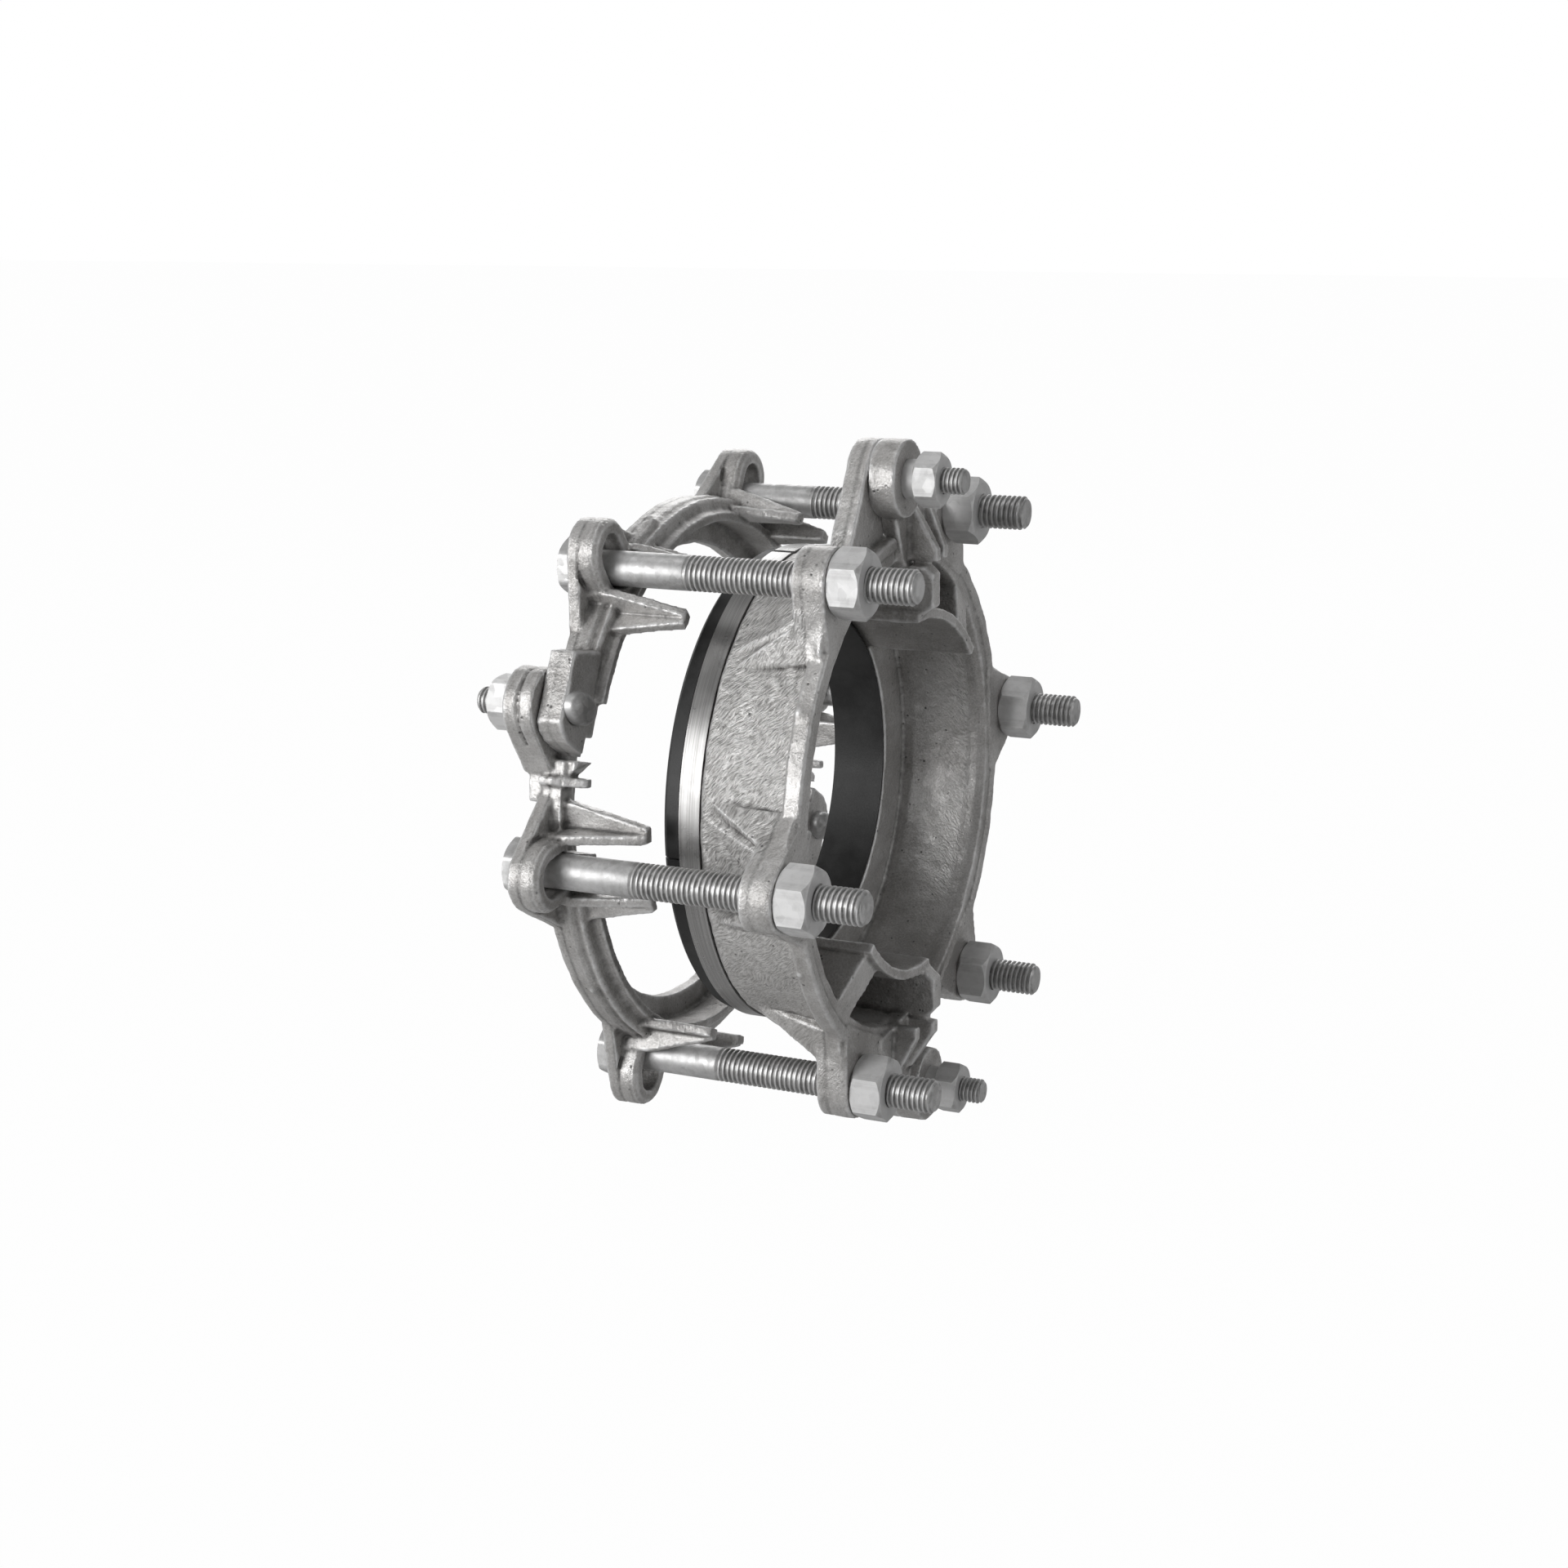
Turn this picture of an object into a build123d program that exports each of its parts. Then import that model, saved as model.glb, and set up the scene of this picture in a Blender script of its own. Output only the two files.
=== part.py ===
from build123d import *
import os
from math import cos, pi, radians, sin, sqrt

# Bell joint clamp: a two-part bell ring behind the bell of a pipe socket and a two-part
# gland ring on the spigot side, drawn together by six tie bolts so that the gland presses
# a rubber gasket onto the bell's face. The pipe axis is X, with the spigot towards +X.
# X = 0 is the middle plane of the bell ring, where it grips the bell. Millimetres.

# Pipe and bell that the clamp fits
pipe_r = 63.5
bell_r = 95.0
bell_face_x = 34.0

# Angles round the pipe, from the top (+Z) towards the front (-Y), in degrees
first_ear_angle = 37.0
ear_pitch = 60.0
ears_per_half = 3
bell_split_angle = 67.0
gland_split_angle = 7.0
split_gap_angle = 0.8

# Tie bolts: 1/2 inch by 5 inch with heavy nuts
tie_r = 6.35
tie_length = 127.0
tie_head_flats = 19.05
tie_head_height = 8.0
tie_nut_flats = 22.2
tie_nut_height = 12.3
tie_end_chamfer = 1.2
nut_running_clearance = 0.05
nut_chamfer = 0.14
bell_nut_turn = -20.0

# Joint bolts: 3/8 inch with heavy nuts, hammer heads on the bell ring and low round heads on the gland ring
joint_r = 4.76
joint_nut_flats = 17.46
joint_nut_height = 9.2
hammer_head_width = 11.5
hammer_head_length = 17.5
hammer_head_height = 5.2
round_head_r = 8.6
round_head_height = 3.6
round_head_pocket = 4.2
bell_end_past_nut = 6.5
gland_end_past_nut = 8.6
joint_hole_clearance = 0.7
joint_washer_r = 7.2
joint_washer_thickness = 4.4

# Bell ring castings
bell_ring_width = 12.0
bell_ring_clearance = 2.0
bell_ring_wall = 9.0
bell_foot_width = 6.0
bell_foot_thickness = 3.4
bell_ridge = 0.8
bell_lip_r = 88.0
bell_lip_width = 5.0
bell_ear_plate = 4.0
bell_ear_groove = 0.9
bell_ear_groove_depth = 1.3
bell_ear_arch = 5.4
bell_ear_bead = 1.6
bell_ear_step = 1.0
bell_slot_travel = 7.0
slot_clearance = 0.8
bell_ear_root_half = 25.0
finger_length = 29.0
finger_web = 3.6
finger_gap = 2.6
finger_root_height = 13.0
finger_tip_height = 5.0
finger_foot_thickness = 3.6
finger_foot_root = 12.5
finger_foot_tip = 6.0
finger_lift = 0.6

# Bell ring joint: a plate on the left and a block on the right lap past each other
bell_joint_height = 7.0
bell_block_width = 10.0
bell_block_height = 15.5
bell_block_near = 7.0
bell_block_far = 18.5
bell_lap_angle = 8.5
bell_plate_thickness = 12.0
bell_plate_lug_r = 13.4
bell_plate_groove = 1.2
lap_clearance = 0.3
neck_right_x = 3.0
neck_end_angle = 13.5
neck_foot_angle = 18.5
prong_length = 12.0

# Gland ring castings
gland_face_x = 91.0
flange_height = 5.5
flange_thickness = 7.5
flange_step = 1.0
drum_left_x = 49.0
drum_draft = 2.5
drum_wall = 5.5
gland_web = 6.0
gland_web_clearance = 2.5
bolt_circle_above_flange = 12.0
gland_ear_thickness = 12.5
gland_ear_r = 12.4
gland_ear_root_half = 19.0
gusset_start = 1.5
gusset_root_half = 18.0
gusset_top_half = 10.5
gusset_bolt_clearance = 1.2

# Gland ring joint: plate on the left, round boss on the right, on a box that hugs the pipe
gland_joint_above_flange = 21.5
gland_lug_r = 14.2
gland_plate_thickness = 8.5
gland_boss_thickness = 10.0
gland_boss_web = 6.0
saddle_clearance = 2.0
saddle_thickness = 4.0
saddle_reach = 7.0
saddle_angle = 54.0
box_near_angle = 24.0
box_depth = 14.0
box_reach = 4.5
rib_thickness = 4.5
rib_reach = 11.0
tab_width = 7.5
tab_reach = 12.0
tab_top = 19.0

# Gasket and its retaining band
gasket_r = 88.5
gasket_band_r = 86.4
band_left_x = 41.0
band_thickness = 3.6
gasket_lip = 6.0
gasket_cut = 0.5
gasket_seat_clearance = 0.05

# Sizes that follow from the ones above
half_ring = bell_ring_width / 2
bell_ring_in_r = bell_r + bell_ring_clearance
bell_ring_out_r = bell_ring_in_r + bell_ring_wall
bell_foot_x = half_ring + bell_foot_width
bell_lip_x = -half_ring + bell_lip_width
bell_joint_r = bell_ring_out_r + bell_joint_height
bell_block_outer_r = bell_ring_out_r + bell_block_height
block_right_x = bell_lip_x + bell_block_width
bell_plate_left_x = bell_lip_x - bell_plate_thickness
drum_r = gasket_band_r + band_thickness
drum_right_r = drum_r + drum_draft
flange_r = drum_right_r + flange_height
bolt_circle_r = flange_r + bolt_circle_above_flange
gland_joint_r = flange_r + gland_joint_above_flange
flange_left_x = gland_face_x - flange_thickness
boss_left_x = gland_face_x - gland_boss_thickness / 2
plate_left_x = boss_left_x - gland_plate_thickness
saddle_in_r = pipe_r + saddle_clearance
saddle_out_r = saddle_in_r + saddle_thickness
tie_hole_r = tie_r + slot_clearance
joint_hole_r = joint_r + joint_hole_clearance


def face_plane(angle, x):
    """Plane across the pipe: local y points out at the angle, local x towards lower angles."""
    return Plane(origin=(x, 0, 0), x_dir=(0, cos(radians(angle)), sin(radians(angle))), z_dir=(1, 0, 0))


def side_plane(angle, offset):
    """Plane along the pipe through the angle: local x is X, local y points out."""
    side = (0, -cos(radians(angle)), -sin(radians(angle)))
    return Plane(origin=(0, offset * side[1], offset * side[2]), x_dir=(1, 0, 0), z_dir=side)


def tangent_plane(angle, r):
    """Plane touching the circle of radius r: local x is X, local y towards higher angles."""
    out = (0, -sin(radians(angle)), cos(radians(angle)))
    return Plane(origin=(0, r * out[1], r * out[2]), x_dir=(1, 0, 0), z_dir=(0, out[1], out[2]))


def around(angle, r, x=0.0):
    """Point at an angle round the pipe."""
    return (x, -r * sin(radians(angle)), r * cos(radians(angle)))


def half_turn_plane(angle):
    """Plane that holds the pipe axis and the angle, with local x along X and local y out."""
    return side_plane(angle, 0.0)


def ring_sector(left_x, right_x, in_r, out_r, from_angle, to_angle):
    """Block bounded by two radii and two angles round the pipe."""
    with BuildPart() as sector:
        with BuildSketch(half_turn_plane(from_angle)):
            with Locations((left_x, in_r)):
                Rectangle(right_x - left_x, out_r - in_r, align=(Align.MIN, Align.MIN))
        revolve(axis=Axis.X, revolution_arc=to_angle - from_angle)
    return sector.part


def bell_half_solid(split, name):
    """One bell ring half: it runs from the split angle through half a turn."""
    far = split + 180
    start = split + split_gap_angle
    arc = 180 - 2 * split_gap_angle
    ears = [split + ear_pitch / 2 + ear_pitch * i for i in range(ears_per_half)]
    lap_right = bell_lip_x - lap_clearance
    beyond_x = bell_foot_x + 1
    beyond_r = bolt_circle_r + bell_slot_travel
    with BuildPart() as half:
        # Ring: outer rim with two low ridges, the foot along the bell and the lip behind its shoulder
        with BuildSketch(half_turn_plane(start)):
            with BuildLine():
                Polyline(
                    (-half_ring, bell_lip_r),
                    (-half_ring, bell_ring_out_r - 1.8),
                    (-half_ring + 1.5, bell_ring_out_r),
                    (half_ring - 3.8, bell_ring_out_r),
                    (half_ring - 2.8, bell_ring_out_r + bell_ridge),
                    (half_ring - 1.6, bell_ring_out_r - bell_ridge),
                    (half_ring, bell_ring_out_r - bell_ridge),
                    (half_ring + 1.2, bell_ring_out_r),
                    (half_ring + 2.2, bell_ring_out_r - 1.2),
                    (half_ring + 2.8, bell_ring_in_r + bell_foot_thickness + 0.8),
                    (bell_foot_x, bell_ring_in_r + bell_foot_thickness),
                    (bell_foot_x, bell_ring_in_r),
                    (bell_lip_x, bell_ring_in_r),
                    (bell_lip_x, bell_lip_r),
                    close=True,
                )
            make_face()
        revolve(axis=Axis.X, revolution_arc=arc)
        # Near end: only the left part laps under the other half's block
        lap_end = split + bell_lap_angle + split_gap_angle
        lap = ring_sector(lap_right, beyond_x, bell_lip_r - 1, beyond_r, split - 1, lap_end)
        add(lap, mode=Mode.SUBTRACT)
        # Near end: the foot starts narrow and widens towards the first ear
        add(bell_neck_cut(split), mode=Mode.SUBTRACT)
        # Far end: the other half's plate passes on the left, and the foot narrows
        plate_sweep = ring_sector(
            -half_ring - 1, bell_lip_x, bell_ring_in_r + 1.5, beyond_r, far - bell_lap_angle - 1, far + 1
        )
        add(plate_sweep, mode=Mode.SUBTRACT)
        foot_end = ring_sector(
            half_ring + bell_foot_width / 2, beyond_x, bell_lip_r - 1, bell_ring_out_r, far - 3, far + 1
        )
        add(foot_end, mode=Mode.SUBTRACT)
        for angle in ears:
            add(bell_ear(angle))
        add(bell_plate_lug(split))
        add(bell_block_lug(far))
        # Slotted holes, longer outwards than the bolts need
        for angle in ears:
            with BuildSketch(face_plane(angle, -half_ring - 1)):
                with Locations((0, bolt_circle_r + bell_slot_travel / 2)):
                    SlotCenterToCenter(bell_slot_travel, 2 * tie_hole_r, rotation=90)
            extrude(amount=bell_foot_x + half_ring + 2, mode=Mode.SUBTRACT)
        for angle in (split, far):
            with BuildSketch(face_plane(angle, bell_plate_left_x - 1)):
                with Locations((0, bell_joint_r)):
                    Circle(joint_hole_r)
            extrude(amount=block_right_x - bell_plate_left_x + 2, mode=Mode.SUBTRACT)
    half.part.label = name
    return half.part


def bell_neck_cut(split):
    """Wedge taken off the right side of the ring between its lap and its first ear."""
    middle = split + neck_end_angle
    beyond_x = bell_foot_x + 2
    end_y = bell_ring_out_r * radians(neck_foot_angle - neck_end_angle)
    with BuildPart() as wedge:
        with BuildSketch(tangent_plane(middle, bell_lip_r - 1)):
            with BuildLine():
                Polyline(
                    (neck_right_x, -bell_ring_out_r * radians(neck_end_angle)),
                    (neck_right_x, 0),
                    (bell_foot_x, end_y),
                    (beyond_x, end_y),
                    (beyond_x, -bell_ring_out_r * radians(neck_end_angle)),
                    close=True,
                )
            make_face()
        extrude(amount=bell_ring_out_r + bell_ridge - bell_lip_r + 6)
    return wedge.part


def bell_ear(angle):
    """Ear with a raised eye and two fingers that lie along the bell."""
    top = bolt_circle_r + bell_slot_travel
    arch_r = tie_hole_r + bell_ear_arch
    web_x = tie_hole_r + finger_gap
    root_x = bell_ear_root_half - 3
    root_y = bell_ring_in_r + 5
    with BuildPart() as ear:
        with BuildSketch(face_plane(angle, -half_ring)):
            with Locations((0, top)):
                Circle(arch_r)
            with Locations((root_x, root_y), (-root_x, root_y)):
                Circle(3)
            make_hull()
        extrude(amount=bell_ear_plate + bell_ear_groove)
        # Groove round the eye, between its back plate and its raised rim
        with BuildSketch(face_plane(angle, -half_ring + bell_ear_plate)):
            with Locations((0, top)):
                Circle(arch_r + 2)
                Circle(arch_r - bell_ear_groove_depth, mode=Mode.SUBTRACT)
        extrude(amount=bell_ear_groove, mode=Mode.SUBTRACT)
        # Raised rim of the eye, narrower towards its right face
        rim_x = -half_ring + bell_ear_plate + bell_ear_groove
        bead_x = half_ring - bell_ear_bead
        for left_x, right_x, rim_r in (
            (rim_x, bead_x, arch_r),
            (bead_x, half_ring, arch_r - bell_ear_step),
        ):
            with BuildSketch(face_plane(angle, left_x)):
                with Locations((0, top)):
                    Circle(rim_r)
                with Locations((0, bolt_circle_r - 4)):
                    Rectangle(2 * rim_r, bell_slot_travel + 4, align=(Align.CENTER, Align.MIN))
            extrude(amount=right_x - left_x)
        # Fingers: a radial web beside the bolt and a foot that lies along the bell
        for side in (-1, 1):
            with BuildSketch(side_plane(angle, side * (web_x + finger_web / 2))):
                with BuildLine():
                    Polyline(
                        (0, bell_ring_in_r + finger_lift),
                        (0, bell_ring_in_r + finger_root_height),
                        (half_ring + 2, bell_ring_in_r + finger_root_height),
                        (half_ring + finger_length, bell_ring_in_r + finger_tip_height),
                        (half_ring + finger_length, bell_ring_in_r + finger_lift),
                        close=True,
                    )
                make_face()
            extrude(amount=finger_web / 2, both=True)
            with BuildSketch(tangent_plane(angle, bell_ring_in_r + finger_lift)):
                with BuildLine():
                    Polyline(
                        (0, side * web_x),
                        (0, side * (web_x + finger_foot_root)),
                        (half_ring, side * (web_x + finger_foot_root)),
                        (half_ring + finger_length, side * (web_x + finger_foot_tip)),
                        (half_ring + finger_length, side * web_x),
                        close=True,
                    )
                make_face()
            extrude(amount=finger_foot_thickness)
    return ear.part


def bell_plate_lug(split):
    """Thick round-topped lug on the left of the joint, standing across the split."""
    root_r = bell_ring_out_r - 4
    half_thickness = bell_plate_thickness / 2
    with BuildPart() as lug:
        with BuildSketch(face_plane(split, bell_plate_left_x)):
            with Locations((0, bell_joint_r)):
                Circle(bell_plate_lug_r)
            with Locations((-bell_plate_lug_r - 6, root_r), (-8, root_r)):
                Circle(3)
            make_hull()
        extrude(amount=bell_plate_thickness - lap_clearance)
        # Groove round the lug's edge, between its left plate and the thicker part
        with BuildSketch(face_plane(split, bell_plate_left_x + half_thickness - bell_plate_groove / 2)):
            with Locations((0, bell_joint_r)):
                Circle(bell_plate_lug_r + 2)
                Circle(bell_plate_lug_r - bell_plate_groove, mode=Mode.SUBTRACT)
        extrude(amount=bell_plate_groove, mode=Mode.SUBTRACT)
        # Web that brings the plate back to the ring
        in_r = bell_ring_in_r + 1
        out_r = bell_ring_out_r - 1
        web = ring_sector(bell_plate_left_x + 2, bell_lip_x - 1, in_r, out_r, split + 6, split + 18)
        add(web)
        # Short prong on the foot side
        with BuildSketch(side_plane(split + bell_lap_angle + 5, 0)):
            with BuildLine():
                Polyline(
                    (-half_ring + 1, bell_ring_in_r + finger_lift),
                    (-half_ring + 1, bell_ring_out_r + 3),
                    (0, bell_ring_out_r + 2.5),
                    (prong_length, bell_ring_out_r - 2),
                    (prong_length, bell_ring_in_r + finger_lift + 3),
                    (0, bell_ring_in_r + finger_lift),
                    close=True,
                )
            make_face()
        extrude(amount=1.6, both=True)
    return lug.part


def bell_block_lug(split):
    """Thick square-fronted block on the right, with a rounded end that laps past the split."""
    with BuildPart() as lug:
        out_r = bell_ring_out_r - 3
        lap_end = split + bell_lap_angle
        end = ring_sector(bell_lip_x, half_ring + 2.8, bell_ring_in_r, out_r, split - 2, lap_end - 4)
        add(end)
        tip = ring_sector(bell_lip_x, half_ring - 1, bell_ring_in_r, out_r, split - 2, lap_end)
        add(tip)
        with BuildSketch(face_plane(split, bell_lip_x)):
            with BuildLine():
                Polyline(
                    (-bell_block_near, bell_block_outer_r),
                    (-bell_block_near - 3.2, bell_block_outer_r - 2.5),
                    (-bell_block_near - 5.8, bell_block_outer_r - 7.5),
                    (-bell_block_near - 7.4, bell_ring_out_r - 1),
                    (-bell_block_near - 7.4, bell_ring_out_r - 4),
                    (bell_block_far + 4.5, bell_ring_out_r - 4),
                    (bell_block_far + 3.5, bell_ring_out_r),
                    (bell_block_far, bell_block_outer_r - 1),
                    close=True,
                )
            make_face()
        extrude(amount=bell_block_width)
    return lug.part


def gland_half_solid(split, name):
    """One gland ring half: drum, flange, inner web, ears with gussets and joint lugs."""
    far = split + 180
    start = split + split_gap_angle
    arc = 180 - 2 * split_gap_angle
    ears = [split + ear_pitch / 2 + ear_pitch * i for i in range(ears_per_half)]
    with BuildPart() as half:
        with BuildSketch(half_turn_plane(start)):
            with BuildLine():
                Polyline(
                    (drum_left_x, pipe_r + gland_web_clearance),
                    (drum_left_x, drum_r - 1),
                    (drum_left_x + 1, drum_r),
                    (flange_left_x, drum_right_r),
                    (flange_left_x, flange_r - 1.2),
                    (flange_left_x + 1.2, flange_r),
                    (gland_face_x - 0.6, flange_r),
                    (gland_face_x, flange_r - 0.6),
                    (gland_face_x, drum_right_r + 1.5),
                    (gland_face_x - flange_step, drum_right_r + 1.0),
                    (gland_face_x - flange_step, drum_right_r - drum_wall + 1.5),
                    (gland_face_x - 4, drum_right_r - drum_wall),
                    (drum_left_x + gland_web, drum_r - drum_wall),
                    (drum_left_x + gland_web, pipe_r + gland_web_clearance),
                    close=True,
                )
            make_face()
        revolve(axis=Axis.X, revolution_arc=arc)
        for angle in ears:
            add(gland_ear(angle))
        add(gland_plate_lug(split))
        add(gland_boss_lug(far))
        add(gland_box(far))
        for angle in ears:
            with BuildSketch(face_plane(angle, gland_face_x - gland_ear_thickness - 1)):
                with Locations((0, bolt_circle_r)):
                    Circle(tie_hole_r)
            extrude(amount=gland_ear_thickness + 2, mode=Mode.SUBTRACT)
        for angle in (split, far):
            with BuildSketch(face_plane(angle, plate_left_x - 1)):
                with Locations((0, gland_joint_r)):
                    Circle(joint_hole_r)
            extrude(amount=gland_plate_thickness + gland_boss_thickness + 2, mode=Mode.SUBTRACT)
        # Pocket for the joint bolt's round head
        with BuildSketch(face_plane(split, plate_left_x - 1)):
            with Locations((0, gland_joint_r)):
                Circle(round_head_r + joint_hole_clearance)
        extrude(amount=round_head_pocket + 1, mode=Mode.SUBTRACT)
    half.part.label = name
    return half.part


def gland_ear(angle):
    """Round ear on the flange, with a wide ramp down to the drum's left edge."""
    ear_left_x = gland_face_x - gland_ear_thickness
    ramp_top = bolt_circle_r - tie_hole_r - gusset_bolt_clearance
    wall_middle = drum_right_r - drum_wall / 2
    with BuildPart() as ear:
        with BuildSketch(face_plane(angle, ear_left_x)):
            with Locations((0, bolt_circle_r)):
                Circle(gland_ear_r)
            with Locations((-gland_ear_root_half, flange_r - 5), (gland_ear_root_half, flange_r - 5)):
                Circle(2.5)
            make_hull()
        extrude(amount=gland_ear_thickness)
        with BuildSketch(face_plane(angle, ear_left_x)):
            with BuildLine():
                Polyline(
                    (-gland_ear_root_half - 2, wall_middle - 2),
                    (-gusset_top_half, ramp_top),
                    (gusset_top_half, ramp_top),
                    (gland_ear_root_half + 2, wall_middle - 2),
                    close=True,
                )
            make_face()
        with BuildSketch(face_plane(angle, drum_left_x + gusset_start)):
            with BuildLine():
                Polyline(
                    (-gusset_root_half, drum_r - drum_wall + 0.5),
                    (-gusset_root_half + 1, drum_r - 1.6),
                    (gusset_root_half - 1, drum_r - 1.6),
                    (gusset_root_half, drum_r - drum_wall + 0.5),
                    close=True,
                )
            make_face()
        loft()
    return ear.part


def gland_plate_lug(split):
    """Flat lug on the left of the joint, rising from the flange across the split."""
    with BuildPart() as lug:
        with BuildSketch(face_plane(split, plate_left_x)):
            with Locations((0, gland_joint_r)):
                Circle(gland_lug_r)
            with Locations((-12, drum_right_r), (-38, drum_right_r - 6)):
                Circle(3)
            make_hull()
        extrude(amount=gland_plate_thickness)
    return lug.part


def gland_boss_lug(split):
    """Round boss on the right of the joint, on a thinner web from the flange."""
    with BuildPart() as lug:
        with BuildSketch(face_plane(split, boss_left_x)):
            with Locations((0, gland_joint_r)):
                Circle(gland_lug_r)
        extrude(amount=gland_boss_thickness)
        with BuildSketch(face_plane(split, boss_left_x)):
            with Locations((3, gland_joint_r - 4)):
                Circle(gland_lug_r - 4.5)
            with Locations((6, drum_right_r - 4), (34, drum_right_r - 4)):
                Circle(3)
            make_hull()
        extrude(amount=gland_boss_web)
        # Ribs that brace the web from the flange
        for reach, rib_angle in ((rib_reach, 6), (rib_reach - 2, 14)):
            with BuildSketch(side_plane(split - rib_angle, 0)):
                with BuildLine():
                    Polyline(
                        (boss_left_x, drum_right_r - drum_wall + 1),
                        (boss_left_x, gland_joint_r - gland_lug_r + 2),
                        (boss_left_x + gland_boss_web + 2, gland_joint_r - gland_lug_r + 2),
                        (boss_left_x + gland_boss_web + reach, drum_right_r),
                        (boss_left_x + gland_boss_web + reach, drum_right_r - drum_wall + 1),
                        close=True,
                    )
                make_face()
            extrude(amount=rib_thickness / 2, both=True)
    return lug.part


def gland_box(split):
    """Saddle along the pipe beside the joint, joined to the drum by a box and by a rounded tab."""
    hub_end_x = gland_face_x + saddle_reach
    box_end_x = gland_face_x + box_reach
    box_middle = saddle_angle - (saddle_angle - box_near_angle) / 4
    inner_r = drum_right_r - drum_wall + 1
    with BuildPart() as box:
        saddle = ring_sector(
            drum_left_x + gland_web - 1,
            hub_end_x,
            saddle_in_r,
            saddle_out_r,
            split - saddle_angle,
            split - split_gap_angle,
        )
        add(saddle)
        # Box between the saddle and the drum
        with BuildSketch(side_plane(split - box_middle, 0)):
            with BuildLine():
                Polyline(
                    (drum_left_x + gland_web - 1, saddle_in_r + 2),
                    (drum_left_x + gland_web - 1, drum_r - drum_wall + 1),
                    (gland_face_x - flange_step, inner_r + 0.5),
                    (box_end_x, saddle_out_r),
                    (box_end_x, saddle_in_r + 2),
                    close=True,
                )
            make_face()
        extrude(amount=box_depth / 2, both=True)
        # Tab with a rounded end beside the joint
        with BuildSketch(side_plane(split - 4.5, 0)):
            with BuildLine():
                Polyline(
                    (drum_left_x + gland_web - 1, saddle_in_r + 2),
                    (drum_left_x + gland_web - 1, drum_r - drum_wall + 1),
                    (gland_face_x - flange_step, inner_r),
                    (gland_face_x + 1, inner_r),
                    (gland_face_x + 1, saddle_in_r + tab_top),
                    (gland_face_x + 3, saddle_in_r + tab_top + 2),
                    (gland_face_x + tab_reach - 3, saddle_in_r + tab_top + 2),
                    (gland_face_x + tab_reach, saddle_in_r + tab_top - 1),
                    (gland_face_x + tab_reach, saddle_in_r + 6),
                    (hub_end_x, saddle_in_r + 2),
                    close=True,
                )
            make_face()
        extrude(amount=tab_width / 2, both=True)
    return box.part


def hex_fastener_nut(angle, r, left_x, flats, height, bore, turn=0.0):
    """Heavy hex nut with chamfered corners at both faces, one corner up before it is turned."""
    corner_r = flats / sqrt(3)
    with BuildPart() as nut:
        with BuildSketch(face_plane(angle, left_x)):
            with Locations((0, r)):
                RegularPolygon(corner_r, 6, rotation=90 - angle + turn)
        extrude(amount=height)
        # Corner chamfers: the hexagon is kept only inside a double cone
        right_x = left_x + height
        with BuildSketch(half_turn_plane(angle)):
            with BuildLine():
                Polyline(
                    (left_x, r),
                    (left_x, r + flats / 2 - 0.3),
                    (left_x + nut_chamfer * corner_r, r + corner_r + 0.1),
                    (right_x - nut_chamfer * corner_r, r + corner_r + 0.1),
                    (right_x, r + flats / 2 - 0.3),
                    (right_x, r),
                    close=True,
                )
            make_face()
        revolve(axis=Axis(around(angle, r), (1, 0, 0)), mode=Mode.INTERSECT)
        with BuildSketch(face_plane(angle, left_x - 1)):
            with Locations((0, r)):
                Circle(bore)
        extrude(amount=height + 2, mode=Mode.SUBTRACT)
    return nut.part


def tie_bolt(angle):
    """Long hex bolt through both rings: head on the left, chamfered end on the right."""
    corner_r = tie_head_flats / sqrt(3)
    with BuildPart() as bolt:
        with BuildSketch(face_plane(angle, -half_ring)):
            with Locations((0, bolt_circle_r)):
                RegularPolygon(corner_r, 6, rotation=90 - angle)
        extrude(amount=-tie_head_height)
        head_left_x = -half_ring - tie_head_height
        with BuildSketch(half_turn_plane(angle)):
            with BuildLine():
                Polyline(
                    (head_left_x, bolt_circle_r),
                    (head_left_x, bolt_circle_r + tie_head_flats / 2 - 0.3),
                    (head_left_x + nut_chamfer * corner_r, bolt_circle_r + corner_r + 0.1),
                    (-half_ring, bolt_circle_r + corner_r + 0.1),
                    (-half_ring, bolt_circle_r),
                    close=True,
                )
            make_face()
        revolve(axis=Axis(around(angle, bolt_circle_r), (1, 0, 0)), mode=Mode.INTERSECT)
        with BuildSketch(face_plane(angle, -half_ring)):
            with Locations((0, bolt_circle_r)):
                Circle(tie_r)
        extrude(amount=tie_length)
        chamfer(bolt.edges().sort_by(Axis.X)[-1], tie_end_chamfer)
    return bolt.part


def joint_bolt(angle, r, head_x, end_x, hammer_head):
    """Short bolt with a hammer head or a low round head: the head's underside is at head_x."""
    way = 1 if end_x > head_x else -1
    head_height = hammer_head_height if hammer_head else round_head_height
    with BuildPart() as bolt:
        with BuildSketch(face_plane(angle, head_x)):
            with Locations((0, r)):
                if hammer_head:
                    SlotOverall(hammer_head_length, hammer_head_width, rotation=90)
                else:
                    Circle(round_head_r)
        extrude(amount=-way * head_height)
        crown = bolt.faces().sort_by(Axis.X)[0 if way > 0 else -1]
        fillet(crown.edges(), head_height * 0.5)
        with BuildSketch(face_plane(angle, head_x)):
            with Locations((0, r)):
                Circle(joint_r)
        extrude(amount=end_x - head_x)
        tip = bolt.edges().sort_by(Axis.X)[-1 if way > 0 else 0]
        chamfer(tip, tie_end_chamfer * 0.7)
    return bolt.part


def ring_washer(angle, r, left_x):
    """Plain washer under a joint nut."""
    with BuildPart() as washer:
        with BuildSketch(face_plane(angle, left_x)):
            with Locations((0, r)):
                Circle(joint_washer_r)
                Circle(joint_r + nut_running_clearance, mode=Mode.SUBTRACT)
        extrude(amount=joint_washer_thickness)
    return washer.part


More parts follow.
